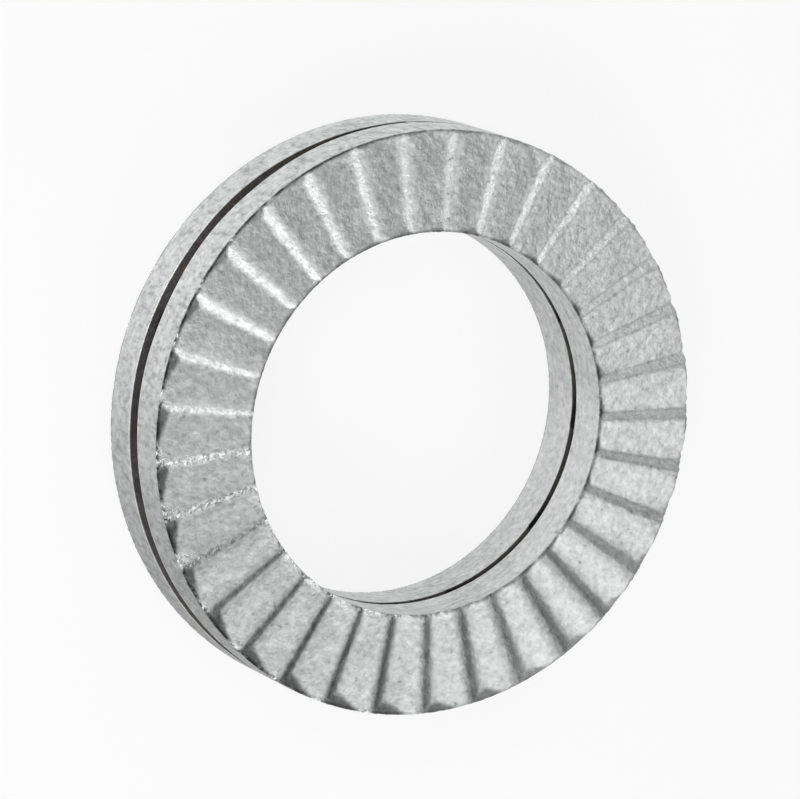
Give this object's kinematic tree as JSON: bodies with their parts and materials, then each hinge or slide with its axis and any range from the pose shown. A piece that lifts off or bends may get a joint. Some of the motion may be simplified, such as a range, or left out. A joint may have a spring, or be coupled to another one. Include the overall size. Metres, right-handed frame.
{
  "type": "wedge lock washer pair",
  "caption": "Pair of wedge lock washers for an M8 bolt: toothed outer faces grip the bolt head and the work, and nested cam faces keep the bolt from turning loose.",
  "frame": {"origin": "on the bore axis, in the plane of the lower washer's tooth tips, where the pair lies on a surface", "axes": "+Z along the bore axis from the lower washer to the upper one; +X through the drop of one cam, the axis about which one washer is the other turned over"},
  "size_m": [0.0136, 0.0134, 0.0026],
  "materials": {
    "upper_zinc": "satin silver-grey zinc flake coat on hardened steel",
    "lower_zinc": "satin silver-grey zinc flake coat on hardened steel"
  },
  "bodies": {
    "root": {"upper_washer": "upper_zinc", "lower_washer": "lower_zinc"}
  },
  "joints": []
}
